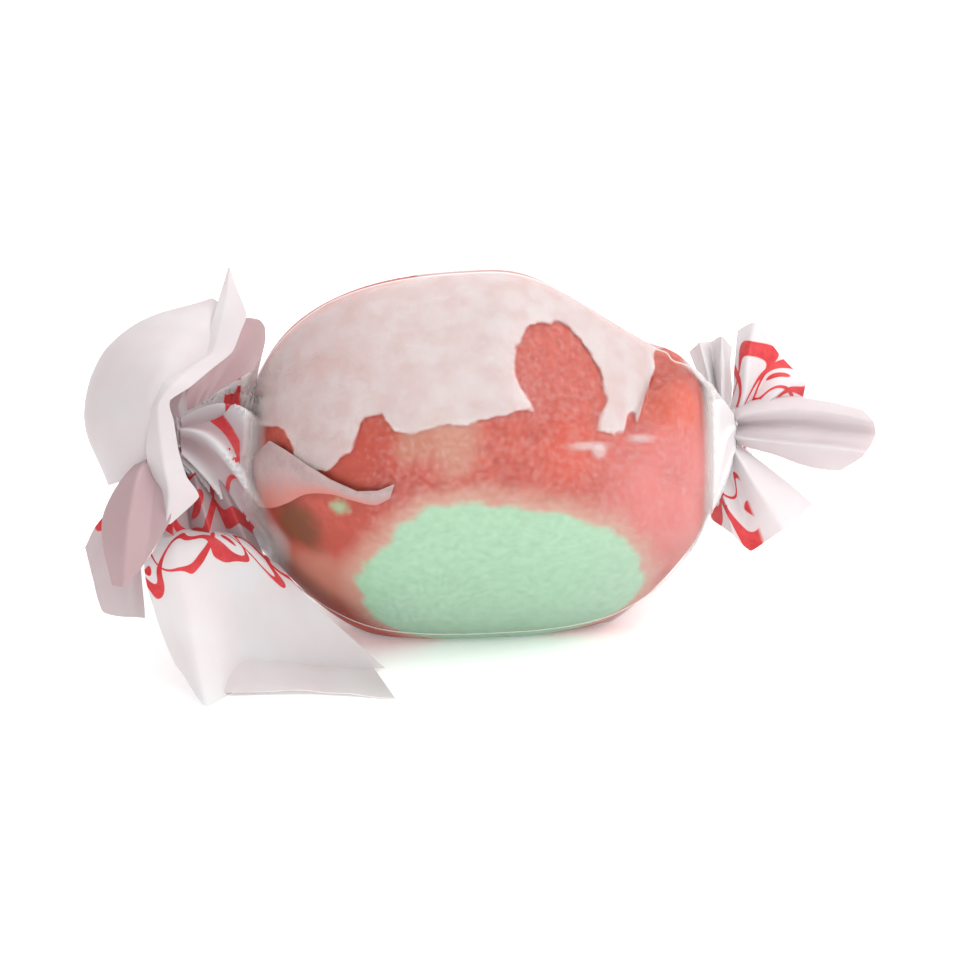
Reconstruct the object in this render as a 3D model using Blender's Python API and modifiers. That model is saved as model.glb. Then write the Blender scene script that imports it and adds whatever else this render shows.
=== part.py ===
"""A salt water taffy in its twisted paper: a slice of striped taffy rope, wrapped in one waxed sheet.

The sheet is wound once and two fifths round the slice, about the X axis, and gathered into a neck at
each end. Past the necks its two ends open into loose folds. Frame: metres, +X along the twist, -Y the front
that shows the cut face, +Z up, the origin on the surface that the sweet rests on.
"""
import math

import bmesh
import bpy
import numpy as np
from mathutils import Vector

MM = 0.001

# The slice of taffy, in mm: half sizes along the twist, up its cut face and through its thickness
CANDY_HALF = (15.3, 12.6, 9.7)
FACE_TILT = math.radians(31)
FACE_SQUARENESS = 2.7
EDGE_SQUARENESS = 2.7
SLICE_SIDES = 30
SLICE_RINGS = 18

# How much lower its top is at the right end, and how much its lower edge rises towards both ends
TOP_CUT = 3.6
TOP_CUT_REACH = 11.0
LOW_CUT = 2.0
LOW_CUT_START = 7.0
LOW_CUT_REACH = 7.0
CUT_FADE = 8.0

# The green core that runs through the slice
CORE_RADII = (9.4, 8.5)
CORE_WAVES = ((2, 0.06, 1.57), (3, 0.03, 0.6), (5, 0.02, 2.1), (7, 0.012, 4.0))
CORE_SIDES = 36
CUTTER_LENGTH = 40
PIECE_GAP = 0.3

# The waxed sheet
PAPER = 0.24
LAYER_GAP = 0.3
INNER_EDGE = math.radians(-56)
OVERLAP = math.radians(147)
CLIMB = math.radians(26)
AROUND = 61
ALONG = 17
PLEATS = 9
PLEAT_DEPTH = 0.125
PLEAT_START = 0.45
PLEAT_RISE = 0.4
PLEAT_FALL = 0.12

# The necks, and the view from which the loose folds were read
VIEW_TURN = math.radians(6)
VIEW_RAISE = math.radians(25)
NECK_LEFT = (-19.4, 0.9, 2.7)
NECK_RIGHT = (16.9, 1.6, -1.0)
NECK_RADIUS = 0.7
SHOULDER_RADIUS = 5.4
KNOT_RADIUS = 2.15
KNOT_HALF_LENGTH = 1.3
KNOT_SIDES = 20
KNOT_RIDGES = 7
KNOT_RIDGE_DEPTH = 0.12
KNOT_TWIST = math.radians(70)
ROOT_SHARE = 0.2
SHARP_ANGLE = math.radians(40)

# Colours, as linear RGB
RED = (0.58, 0.12, 0.10, 1)
GREEN = (0.42, 0.69, 0.47, 1)
WHITE = (0.86, 0.82, 0.80, 1)

# Where the slice's centre stands over the origin, which is under the middle of the whole
SLICE_CENTRE = np.array((0.44, -0.10, 11.8))


def seen(right, up, near):
    """A point in mm from the slice's centre, given in the axes of the front view: right, up and towards it."""
    turn, tilt = VIEW_TURN, VIEW_RAISE
    axes = (
        Vector((math.cos(turn), -math.sin(turn), 0)),
        Vector((math.sin(turn) * math.sin(tilt), math.cos(turn) * math.sin(tilt), math.cos(tilt))),
        Vector((-math.sin(turn) * math.cos(tilt), -math.cos(turn) * math.cos(tilt), math.sin(tilt))),
    )
    return right * axes[0] + up * axes[1] + near * axes[2]


# The loose folds: each is a band of the sheet's end, as ribs from the neck to the cut edge, in seen mm
LEFT_FOLDS = {
    "hood": (
        ((-22.5, -0.6, 1.5), (-24.6, -1.9, 3.5), (-22.8, -1.4, 6.5), (-21.6, -1.0, 7.6)),
        ((-23.5, 1.2, 0.5), (-26.2, 2.2, 3.0), (-22.6, 2.6, 7.6), (-20.6, 2.9, 8.6)),
        ((-23.0, 3.8, -0.5), (-25.2, 6.2, 2.0), (-21.6, 5.8, 7.2), (-19.8, 5.0, 8.2)),
        ((-21.5, 5.6, -1.5), (-22.4, 8.9, 1.0), (-19.6, 8.1, 5.2), (-17.0, 6.9, 6.2)),
        ((-19.8, 6.2, -2.0), (-18.4, 10.0, 0.4), (-17.2, 10.2, 3.0), (-15.7, 9.0, 4.2)),
    ),
    "tip": (
        ((-19.9, 6.0, -1.4), (-18.0, 9.6, 0.8), (-16.9, 12.6, 1.8)),
        ((-18.6, 5.6, -1.0), (-16.6, 8.6, 2.6), (-16.8, 12.4, 2.0)),
        ((-17.6, 5.0, -1.4), (-15.5, 9.4, 2.4), (-16.6, 12.3, 1.7)),
    ),
    "back": (
        ((-19.2, 4.0, -2.0), (-17.6, 7.4, -4.4), (-16.4, 9.2, -6.0)),
        ((-18.2, 3.6, -2.6), (-16.0, 6.6, -6.2), (-14.8, 8.6, -8.4)),
        ((-18.0, 1.2, -2.4), (-16.6, 2.4, -6.8), (-15.6, 3.2, -10.6)),
    ),
    "apron": (
        ((-22.2, -3.6, 4.6), (-22.8, -7.6, 6.2), (-21.6, -10.8, 5.8), (-20.2, -13.6, 5.2)),
        ((-20.2, -3.6, 5.4), (-20.2, -6.2, 6.8), (-19.4, -11.0, 6.0), (-18.2, -16.2, 5.0)),
        ((-18.2, -3.4, 5.4), (-16.8, -6.0, 6.6), (-15.6, -10.2, 5.2), (-14.6, -14.8, 3.8)),
        ((-16.8, -3.6, 5.2), (-14.4, -7.0, 5.4), (-10.6, -10.4, 4.2), (-6.6, -13.8, 2.6)),
    ),
    "pendant": (
        ((-23.0, -0.4, 6.6), (-24.8, -3.4, 7.6), (-24.6, -6.0, 8.0), (-24.1, -8.8, 7.6)),
        ((-21.8, -0.2, 7.4), (-22.6, -3.2, 8.6), (-22.2, -5.8, 8.8), (-22.4, -8.0, 8.2)),
        ((-20.9, 0.4, 7.2), (-20.9, -2.0, 8.4), (-20.6, -4.0, 8.8), (-21.0, -5.8, 8.6)),
    ),
    "spur": (
        ((-20.8, 1.2, 7.6), (-20.6, -1.4, 8.6), (-20.4, -4.0, 8.8)),
        ((-20.2, 1.6, 7.2), (-19.6, -0.8, 7.8), (-18.7, -3.0, 8.2)),
    ),
    "pleat": (
        ((-22.4, -1.4, 2.0), (-25.2, -4.2, 2.4), (-26.2, -6.0, 2.8)),
        ((-22.0, -2.4, 2.4), (-24.2, -6.4, 3.4), (-25.0, -10.2, 4.0)),
        ((-21.0, -2.8, 2.8), (-22.4, -6.2, 4.0), (-22.2, -10.6, 4.8)),
    ),
}
RIGHT_FOLDS = {
    "fan": (
        ((15.2, 4.6, -3.8), (14.2, 7.6, -6.2), (13.8, 8.4, -8.8)),
        ((16.0, 4.6, -2.2), (15.0, 7.7, -3.6), (14.6, 8.4, -5.8)),
        ((16.6, 4.2, -3.4), (16.2, 7.2, -5.4), (16.2, 7.8, -8.4)),
        ((17.2, 4.8, -1.8), (17.4, 8.2, -2.8), (18.0, 9.2, -5.6)),
        ((17.9, 3.8, -2.6), (19.4, 5.9, -4.2), (20.6, 6.2, -7.0)),
        ((18.5, 3.5, -1.4), (20.8, 4.4, -2.2), (22.4, 4.4, -4.6)),
        ((18.3, 2.8, -0.9), (21.6, 3.3, -1.2), (25.0, 3.0, -2.2)),
        ((18.6, 2.0, 0.7), (22.0, 1.8, 0.9), (25.8, 1.4, 0.0)),
        ((18.0, 1.2, -0.7), (21.2, 0.6, -1.4), (24.6, -0.5, -2.4)),
        ((18.3, 0.4, -1.7), (21.0, -0.7, -2.6), (23.8, -2.0, -4.0)),
        ((17.6, -0.9, -1.3), (19.9, -3.1, -2.2), (21.6, -4.6, -3.4)),
        ((16.7, -1.6, -2.6), (17.9, -4.4, -4.4), (18.5, -6.3, -6.0)),
        ((16.0, -1.2, -3.6), (15.4, -3.6, -6.6), (15.0, -5.4, -9.2)),
    ),
    "rear": (
        ((15.8, 3.2, -4.4), (15.2, 4.4, -8.4), (15.0, 5.6, -12.0)),
        ((16.8, 1.6, -4.6), (17.2, 1.4, -8.6), (18.0, 1.8, -12.4)),
        ((16.6, 0.0, -4.2), (16.8, -1.2, -8.0), (17.2, -2.2, -11.6)),
    ),
}


def clear_scene():
    for obj in list(bpy.data.objects):
        bpy.data.objects.remove(obj, do_unlink=True)


def collection(name):
    made = bpy.data.collections.new(name)
    bpy.context.scene.collection.children.link(made)
    return made


def material(name, colour, roughness):
    made = bpy.data.materials.new(name)
    made.use_nodes = True
    shader = made.node_tree.nodes["Principled BSDF"]
    shader.inputs["Base Color"].default_value = colour
    shader.inputs["Roughness"].default_value = roughness
    return made


def new_object(name, bm, home, look=None):
    mesh = bpy.data.meshes.new(name)
    bm.to_mesh(mesh)
    bm.free()
    obj = bpy.data.objects.new(name, mesh)
    home.objects.link(obj)
    if look is not None:
        mesh.materials.append(look)
    return obj


def face_frame():
    """Unit vectors along the twist, up the cut face and out of it."""
    along = np.array((1.0, 0.0, 0.0))
    rise = np.array((0.0, -math.sin(FACE_TILT), math.cos(FACE_TILT)))
    out = np.array((0.0, -math.cos(FACE_TILT), -math.sin(FACE_TILT)))
    return along, rise, out


def smooth(value):
    value = np.clip(value, 0.0, 1.0)
    return value * value * (3 - 2 * value)


def slice_level(points, margin):
    """1 on the surface of the slice grown by the margin, less inside it. Points are in mm from its centre."""
    along, rise, out = face_frame()
    half = np.array(CANDY_HALF) + margin
    x, u, n = (points @ axis for axis in (along, rise, out))
    upper, lower = smooth((u + 2) / CUT_FADE), smooth((2 - u) / CUT_FADE)
    u = u + TOP_CUT * smooth(x / TOP_CUT_REACH) * upper
    u = u - LOW_CUT * smooth((abs(x) - LOW_CUT_START) / LOW_CUT_REACH) * lower
    x, u, n = (abs(distance) / size for distance, size in zip((x, u, n), half))
    outline = (x**FACE_SQUARENESS + u**FACE_SQUARENESS) ** (EDGE_SQUARENESS / FACE_SQUARENESS)
    return outline + n**EDGE_SQUARENESS


def slice_radius(directions, start, margin):
    """How far the grown slice's surface is from the start, along each direction. The start is inside it."""
    low = np.zeros(len(directions))
    high = np.full(len(directions), 2.0 * max(CANDY_HALF))
    for _ in range(40):  # halves the range until it is far below any printed figure
        middle = (low + high) / 2
        inside = slice_level(start + directions * middle[:, None], margin) < 1
        low = np.where(inside, middle, low)
        high = np.where(inside, high, middle)
    return low


def slice_object(name, home, look):
    """A sphere pushed out to the slice's surface, with the flat that it has settled on."""
    bm = bmesh.new()
    bmesh.ops.create_uvsphere(bm, u_segments=SLICE_SIDES, v_segments=SLICE_RINGS, radius=1)
    points = np.array([vert.co[:] for vert in bm.verts])
    basis = np.array(face_frame())
    directions = points @ basis
    radii = slice_radius(directions, np.zeros(3), 0.0)
    floor = PAPER + PIECE_GAP
    for vert, direction, radius in zip(bm.verts, directions, radii):
        place = Vector(direction * radius + SLICE_CENTRE)
        place.z = max(place.z, floor)
        vert.co = place * MM
    return new_object(name, bm, home, look)


def core_cutter(name, home, margin):
    """A long bar through the slice, with the core's slightly wavy outline."""
    bm = bmesh.new()
    bmesh.ops.create_cone(
        bm, cap_ends=True, segments=CORE_SIDES, radius1=1, radius2=1, depth=CUTTER_LENGTH
    )
    along, rise, out = face_frame()
    for vert in bm.verts:
        angle = math.atan2(vert.co.y, vert.co.x)
        wave = 1 + sum(size * math.cos(count * angle + phase) for count, size, phase in CORE_WAVES)
        right = (CORE_RADII[0] * wave + margin) * math.cos(angle)
        up = (CORE_RADII[1] * wave + margin) * math.sin(angle)
        place = right * along + up * rise + vert.co.z * out
        vert.co = Vector(place + SLICE_CENTRE) * MM
    obj = new_object(name, bm, home)
    obj.hide_render = True
    obj.display_type = "WIRE"
    return obj


def boolean(obj, other, operation):
    cut = obj.modifiers.new(operation.title(), "BOOLEAN")
    cut.operation = operation
    cut.object = other
    return cut


def neck_point(neck):
    return np.array(seen(*neck))


def shoulder_profile(angle, margin, reach=240):
    """The sheet's line over the slice at one angle round the twist, from neck to neck, in mm."""
    left, right = neck_point(NECK_LEFT), neck_point(NECK_RIGHT)
    direction = np.array((0.0, -math.cos(angle), math.sin(angle)))
    limit = CANDY_HALF[0] + margin - 0.02
    x = limit * np.sin(np.linspace(-math.pi / 2, math.pi / 2, reach))
    starts = np.stack([x, 0 * x, 0 * x], axis=1)
    radius = slice_radius(np.tile(direction, (reach, 1)), starts, margin)
    points = starts + radius[:, None] * direction
    ends = [
        neck + (NECK_RADIUS + margin) * direction + side * margin * np.array((1, 0, 0))
        for neck, side in ((left, -1), (right, 1))
    ]
    kept = radius > SHOULDER_RADIUS
    line = np.concatenate([ends[:1], points[kept], ends[1:]])
    steps = np.concatenate([[0], np.cumsum(np.linalg.norm(np.diff(line, axis=0), axis=1))])
    wanted = np.linspace(0, steps[-1], ALONG + 1)
    return np.stack([np.interp(wanted, steps, line[:, axis]) for axis in range(3)], axis=1)


def wound_sheet(home, look):
    """The sheet round the slice: a grid wound past one full turn, outside its own first edge."""
    bm = bmesh.new()
    bmesh.ops.create_grid(bm, x_segments=AROUND, y_segments=ALONG, size=0.5)
    ordered = sorted(bm.verts, key=lambda vert: (round(vert.co.x, 5), round(vert.co.y, 5)))
    full = 2 * math.pi
    inner = PIECE_GAP + PAPER / 2
    for column in range(AROUND + 1):
        wound = (full + OVERLAP) * column / AROUND
        lift = (PAPER + LAYER_GAP) * smooth((wound - full + CLIMB) / CLIMB)
        profile = shoulder_profile(INNER_EDGE + wound, inner + lift)
        for row in range(ALONG + 1):
            near_neck = abs(2 * row / ALONG - 1)
            fold = smooth((near_neck - PLEAT_START) / PLEAT_RISE) * smooth((1 - near_neck) / PLEAT_FALL)
            push = 1 + PLEAT_DEPTH * fold * (1 + math.cos(PLEATS * wound)) / 2
            place = profile[row] * np.array((1, push, push)) + SLICE_CENTRE
            place[2] = max(place[2], PAPER / 2 + lift)
            ordered[column * (ALONG + 1) + row].co = Vector(place) * MM
    obj = new_object("wrapper", bm, home, look)
    thick = obj.modifiers.new("Paper", "SOLIDIFY")
    thick.thickness = PAPER * MM
    thick.offset = 0
    return obj


def knot(name, neck, home):
    """The gathered neck: a short ridged spindle, twisted along its length."""
    bm = bmesh.new()
    bmesh.ops.create_cone(
        bm, cap_ends=True, segments=KNOT_SIDES, radius1=1, radius2=1, depth=2 * KNOT_HALF_LENGTH
    )
    centre = neck_point(neck) + SLICE_CENTRE
    for vert in bm.verts:
        angle = math.atan2(vert.co.y, vert.co.x)
        ridge = 1 + KNOT_RIDGE_DEPTH * math.cos(KNOT_RIDGES * angle)
        turned = angle + KNOT_TWIST * vert.co.z / (2 * KNOT_HALF_LENGTH)
        place = centre + np.array(
            (
                vert.co.z,
                KNOT_RADIUS * ridge * math.cos(turned),
                KNOT_RADIUS * ridge * math.sin(turned),
            )
        )
        vert.co = Vector(place) * MM
    return new_object(name, bm, home)


def curve_through(points, count):
    """A smooth curve through the points, read at even steps of its parameter."""
    points = np.array(points)
    padded = np.concatenate([[2 * points[0] - points[1]], points, [2 * points[-1] - points[-2]]])
    spans = len(points) - 1
    read = []
    for step in np.linspace(0, spans, count):
        span = min(int(step), spans - 1)
        t = step - span
        a, b, c, d = padded[span : span + 4]
        read.append(
            0.5 * (2 * b + (c - a) * t + (2 * a - 5 * b + 4 * c - d) * t**2 + (3 * b - a - 3 * c + d) * t**3)
        )
    return np.array(read)


def loose_fold(name, neck, ribs, home):
    """A band of paper, lofted across its ribs from the neck to the cut edge."""
    root = neck_point(neck)
    across, along = max(6, 2 * (len(ribs) - 1)), 3 * len(ribs[0])
    lines = []
    for rib in ribs:
        points = [np.array(seen(*point)) for point in rib]
        points.insert(0, root + ROOT_SHARE * (points[0] - root))
        lines.append(curve_through(points, along + 1))
    lines = np.array(lines)
    surface = np.stack([curve_through(lines[:, row], across + 1) for row in range(along + 1)], axis=1)
    bm = bmesh.new()
    bmesh.ops.create_grid(bm, x_segments=across, y_segments=along, size=0.5)
    ordered = sorted(bm.verts, key=lambda vert: (round(vert.co.x, 5), round(vert.co.y, 5)))
    for column in range(across + 1):
        for row in range(along + 1):
            place = surface[column, row] + SLICE_CENTRE
            place[2] = max(place[2], PAPER / 2)
            ordered[column * (along + 1) + row].co = Vector(place) * MM
    obj = new_object(name, bm, home)
    thick = obj.modifiers.new("Paper", "SOLIDIFY")
    thick.thickness = PAPER * MM
    thick.offset = 0
    return obj


def apply_modifiers(obj):
    graph = bpy.context.evaluated_depsgraph_get()
    mesh = bpy.data.meshes.new_from_object(obj.evaluated_get(graph))
    obj.modifiers.clear()
    obj.data = mesh


def drop_scraps(obj):
    """Keeps the largest connected piece of the mesh, as the union can leave loose slivers."""
    bm = bmesh.new()
    bm.from_mesh(obj.data)
    left, pieces = set(bm.verts), []
    while left:
        piece, edge = set(), [left.pop()]
        while edge:
            vert = edge.pop()
            piece.add(vert)
            around = {link.other_vert(vert) for link in vert.link_edges} & left
            left -= around
            edge.extend(around)
        pieces.append(piece)
    pieces.sort(key=len)
    scraps = [vert for piece in pieces[:-1] for vert in piece]
    bmesh.ops.delete(bm, geom=scraps, context="VERTS")
    bm.to_mesh(obj.data)
    bm.free()


def main():
    clear_scene()
    taffy = collection("taffy")
    cutters = collection("cutters")
    cutters.hide_render = True
    folds = collection("folds")
    red = material("red_taffy", RED, 0.5)
    green = material("green_taffy", GREEN, 0.5)
    waxed = material("waxed_paper", WHITE, 0.45)

    shell = slice_object("shell", taffy, red)
    boolean(shell, core_cutter("core_hole", cutters, PIECE_GAP), "DIFFERENCE")
    core = slice_object("core", taffy, green)
    boolean(core, core_cutter("core_bar", cutters, 0.0), "INTERSECT")

    wrapper = wound_sheet(taffy, waxed)
    for neck, name in ((NECK_LEFT, "knot_left"), (NECK_RIGHT, "knot_right")):
        knot(name, neck, folds)
    for neck, bands in ((NECK_LEFT, LEFT_FOLDS), (NECK_RIGHT, RIGHT_FOLDS)):
        for name, ribs in bands.items():
            loose_fold(name, neck, ribs, folds)
    joined = wrapper.modifiers.new("Gathered", "BOOLEAN")
    joined.operation = "UNION"
    joined.operand_type = "COLLECTION"
    joined.collection = folds
    joined.solver = "MANIFOLD"
    apply_modifiers(wrapper)
    drop_scraps(wrapper)
    for obj in list(folds.objects):
        bpy.data.objects.remove(obj, do_unlink=True)
    bpy.data.collections.remove(folds)
    for obj in taffy.objects:
        obj.data.shade_smooth()
        obj.data.set_sharp_from_angle(angle=SHARP_ANGLE)


main()
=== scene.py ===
"""The look of the wrapped taffy: the slice's coloured surface, and its translucent waxed sheet.

Points are worked out in mm from the slice's centre, and go into the meshes in metres. The loose folds are
read in the axes of the front view: right, up and near, towards the camera.
"""
import math

import bpy
import numpy as np
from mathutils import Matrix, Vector


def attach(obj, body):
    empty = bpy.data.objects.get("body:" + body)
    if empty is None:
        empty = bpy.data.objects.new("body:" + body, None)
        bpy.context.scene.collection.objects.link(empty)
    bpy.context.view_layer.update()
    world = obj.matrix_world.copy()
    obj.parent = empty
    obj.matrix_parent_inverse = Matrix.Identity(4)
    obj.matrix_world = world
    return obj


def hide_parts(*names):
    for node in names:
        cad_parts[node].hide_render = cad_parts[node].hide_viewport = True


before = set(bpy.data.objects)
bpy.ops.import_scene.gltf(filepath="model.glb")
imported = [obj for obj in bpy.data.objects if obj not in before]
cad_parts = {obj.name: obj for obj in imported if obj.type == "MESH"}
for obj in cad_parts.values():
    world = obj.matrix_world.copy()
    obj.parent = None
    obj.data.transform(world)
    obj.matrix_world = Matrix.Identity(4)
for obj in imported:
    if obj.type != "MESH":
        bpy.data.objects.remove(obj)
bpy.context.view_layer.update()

MM = 0.001

# The slice: its half sizes in mm, the lean of its cut face, and how square it is. Its top is cut down towards
# the right end, and its foot is cut up towards both ends.
CANDY_HALF = (15.3, 12.6, 9.7)
FACE_TILT = math.radians(31)
FACE_SQUARENESS = 2.7
EDGE_SQUARENESS = 2.7
TOP_CUT = 3.6
TOP_CUT_REACH = 11.0
LOW_CUT = 2.0
LOW_CUT_START = 7.0
LOW_CUT_REACH = 7.0
CUT_FADE = 8.0
# Against the part's source, its right end is shorter, less cut down at its top and thinner at the back
RIGHT_TRIM = 0.8
RIGHT_LOBE = 0.45
RIGHT_LOBE_START = 10.5
RIGHT_LOBE_REACH = 3.0
BACK_TAPER = 0.25
BACK_TAPER_START = 2.0
BACK_TAPER_REACH = 9.0
# The core's outline on the cut face, with its waves, and how far it lies below the face's middle
CORE_RADII = (9.4, 8.5)
CORE_DROP = 0.8
CORE_WAVES = ((2, 0.06, 1.57), (3, 0.03, 0.6), (5, 0.02, 2.1), (7, 0.012, 4.0))
SLICE_CENTRE = np.array((0.44, -0.10, 11.8))

# The sheet: its thickness in mm, the turn round the slice at which it starts and, for places along the slice,
# the turn in degrees at which it ends, once round further on
SHEET = 0.07
INNER_EDGE = math.radians(-66)
OUTER_EDGE = ((-22.0, 55), (-17.0, 66), (-14.5, 83), (-9.0, 86), (8.6, 86), (12.0, 80), (20.0, 66))
# The turn over which it climbs on to its first layer, how far the taffy and the sheet stand out from the
# slice, how much further its second layer does, and the grid it is made on
CLIMB = math.radians(26)
CANDY_GROW = 0.40
CLING_GAP = 0.50
LIFT = 0.14
COLUMNS = 340
ROWS = 140
# The necks, in the front view, their radius, the slice's radius at which the sheet turns in to them, and what
# is gathered there. A fold starts a share of the way from its neck to its first point.
NECK_LEFT = (-19.4, 0.9, 2.7)
NECK_RIGHT = (15.6, 1.5, -2.4)
NECK_RADIUS = 0.9
SHOULDER_RADIUS = 5.4
PLEATS = 12
PLEAT_DEPTH = 0.34
KNOT_RIDGES = 9
ROOT_SHARE = 0.12

VIEW_TURN = math.radians(6)
VIEW_RAISE = math.radians(25)


def view_axes(turn, tilt):
    """Unit vectors to the right, up and towards the camera of the front view."""
    return (
        np.array((math.cos(turn), -math.sin(turn), 0)),
        np.array((math.sin(turn) * math.sin(tilt), math.cos(turn) * math.sin(tilt), math.cos(tilt))),
        np.array((-math.sin(turn) * math.cos(tilt), -math.cos(turn) * math.cos(tilt), math.sin(tilt))),
    )


AXES = view_axes(VIEW_TURN, VIEW_RAISE)


def seen(right, up, near):
    """The point at a place in the front view."""
    return right * AXES[0] + up * AXES[1] + near * AXES[2]


# The loose folds: each is a band of the sheet's end, as ribs from the neck to the cut edge, in seen mm
LEFT_FOLDS = {
    "hood": (
        ((-22.5, -0.6, 1.5), (-24.6, -1.9, 3.5), (-22.8, -1.4, 6.5), (-21.6, -1.0, 7.6)),
        ((-23.5, 1.2, 0.5), (-26.2, 2.2, 3.0), (-22.6, 2.6, 7.6), (-20.6, 2.9, 8.4)),
        ((-23.0, 3.8, -0.5), (-25.2, 6.2, 2.0), (-21.6, 5.8, 7.0), (-19.8, 5.0, 7.8)),
        ((-21.5, 5.6, -1.5), (-22.4, 8.9, 1.0), (-19.6, 8.1, 4.8), (-17.2, 6.9, 5.6)),
        ((-19.8, 6.2, -2.0), (-18.4, 10.0, 0.4), (-17.4, 10.0, 2.4), (-16.3, 9.0, 3.2)),
    ),
    "back": (
        ((-20.6, 3.4, 0.6), (-19.8, 6.4, -0.8), (-18.4, 8.4, -2.4)),
        ((-19.2, 4.0, -2.0), (-17.6, 7.4, -4.4), (-16.4, 9.2, -6.0)),
        ((-18.2, 3.6, -2.6), (-16.0, 6.6, -6.2), (-14.8, 8.6, -8.4)),
        ((-18.0, 1.2, -2.4), (-16.6, 2.4, -6.8), (-15.6, 3.2, -10.6)),
    ),
    "under": (
        ((-19.6, -5.6, 3.0), (-18.4, -9.6, 4.0), (-17.4, -13.0, 5.0), (-17.2, -15.4, 5.9)),
        ((-16.6, -6.2, 2.6), (-14.0, -9.4, 2.8), (-12.4, -13.0, 3.2), (-11.4, -15.4, 5.6)),
        ((-15.4, -6.0, 2.0), (-11.6, -9.6, 1.4), (-8.0, -13.2, 1.8), (-5.9, -15.8, 6.2)),
    ),
    "apron": (
        ((-21.2, -3.4, 3.0), (-22.2, -7.0, 6.2), (-21.4, -10.4, 6.2), (-20.2, -13.6, 5.6)),
        ((-19.8, -3.8, 3.0), (-20.2, -5.9, 6.7), (-19.2, -11.0, 6.9), (-18.1, -16.3, 7.1)),
        ((-18.4, -4.2, 2.8), (-17.6, -5.5, 6.6), (-16.4, -10.2, 5.4), (-15.3, -14.8, 4.2)),
        ((-17.4, -4.4, 2.8), (-15.6, -5.8, 6.0), (-13.6, -10.0, 5.0), (-11.4, -14.2, 3.4)),
        ((-16.6, -4.6, 2.6), (-13.6, -7.2, 5.0), (-10.4, -10.4, 4.2), (-6.6, -13.9, 2.6)),
    ),
    "gusset": (
        ((-21.0, -2.2, 3.4), (-21.6, -4.4, 5.2)),
        ((-20.2, -2.4, 4.6), (-20.4, -5.2, 6.0)),
        ((-19.6, -2.2, 3.6), (-19.2, -5.4, 4.8)),
        ((-18.8, -2.0, 5.0), (-17.8, -5.4, 6.2)),
        ((-18.2, -2.0, 3.8), (-16.6, -5.6, 4.8)),
        ((-17.4, -1.6, 4.8), (-15.4, -6.0, 5.4)),
        ((-16.8, -1.8, 3.6), (-14.6, -6.4, 4.0)),
    ),
    "pendant": (
        ((-22.8, -0.6, 6.8), (-24.7, -3.4, 7.4), (-24.8, -5.8, 7.8), (-24.2, -8.4, 7.6)),
        ((-22.2, -0.6, 8.0), (-23.0, -3.4, 9.0), (-23.3, -6.0, 9.2), (-23.5, -8.5, 8.4)),
        ((-21.2, -1.0, 7.4), (-21.6, -3.4, 8.2), (-21.8, -5.4, 8.4), (-22.4, -7.4, 8.0)),
        ((-20.4, -1.6, 7.8), (-20.4, -3.4, 8.5), (-20.5, -4.3, 8.6), (-21.6, -6.2, 8.3)),
    ),
    "pleat": (
        ((-22.4, -1.4, 2.0), (-25.2, -4.2, 2.4), (-26.2, -6.0, 2.8)),
        ((-22.0, -2.4, 2.4), (-24.2, -6.4, 3.4), (-25.0, -10.2, 4.0)),
        ((-21.0, -2.8, 2.8), (-22.4, -6.2, 4.0), (-22.2, -10.6, 4.8)),
    ),
}
# The turned-back strip along the hood's near edge, from the tip down to the spur, each rib from left to right
HEM = (
    ((-16.85, 12.2, 2.2), (-16.8, 12.3, 2.3), (-16.75, 12.2, 2.2)),
    ((-17.25, 10.9, 2.7), (-16.9, 10.9, 2.9), (-16.2, 10.7, 2.9)),
    ((-17.6, 9.7, 3.4), (-17.1, 9.6, 3.7), (-15.6, 9.2, 3.8)),
    ((-18.0, 8.2, 4.6), (-17.4, 8.1, 5.0), (-16.0, 8.0, 4.9)),
    ((-18.5, 6.6, 5.9), (-17.8, 6.6, 6.3), (-16.5, 6.7, 6.0)),
    ((-19.9, 5.6, 7.2), (-19.2, 5.6, 7.6), (-17.8, 5.6, 7.2)),
    ((-21.0, 4.8, 8.0), (-20.4, 4.5, 8.5), (-19.2, 4.4, 8.0)),
    ((-21.6, 3.2, 8.3), (-21.2, 3.3, 8.8), (-20.5, 3.5, 8.6)),
    ((-21.8, 2.1, 8.2), (-21.2, 2.1, 8.8), (-20.2, 2.1, 8.5)),
    ((-22.0, 0.6, 8.1), (-21.0, 0.6, 8.8), (-19.9, 0.2, 8.3)),
    ((-21.9, -0.6, 7.9), (-20.8, -0.8, 8.9), (-19.4, -1.4, 8.1)),
    ((-21.2, -2.2, 7.9), (-20.5, -2.4, 8.9), (-18.6, -2.7, 8.0)),
    ((-20.9, -4.4, 8.0), (-20.7, -4.5, 8.5), (-20.4, -4.4, 8.3)),
)
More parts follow.
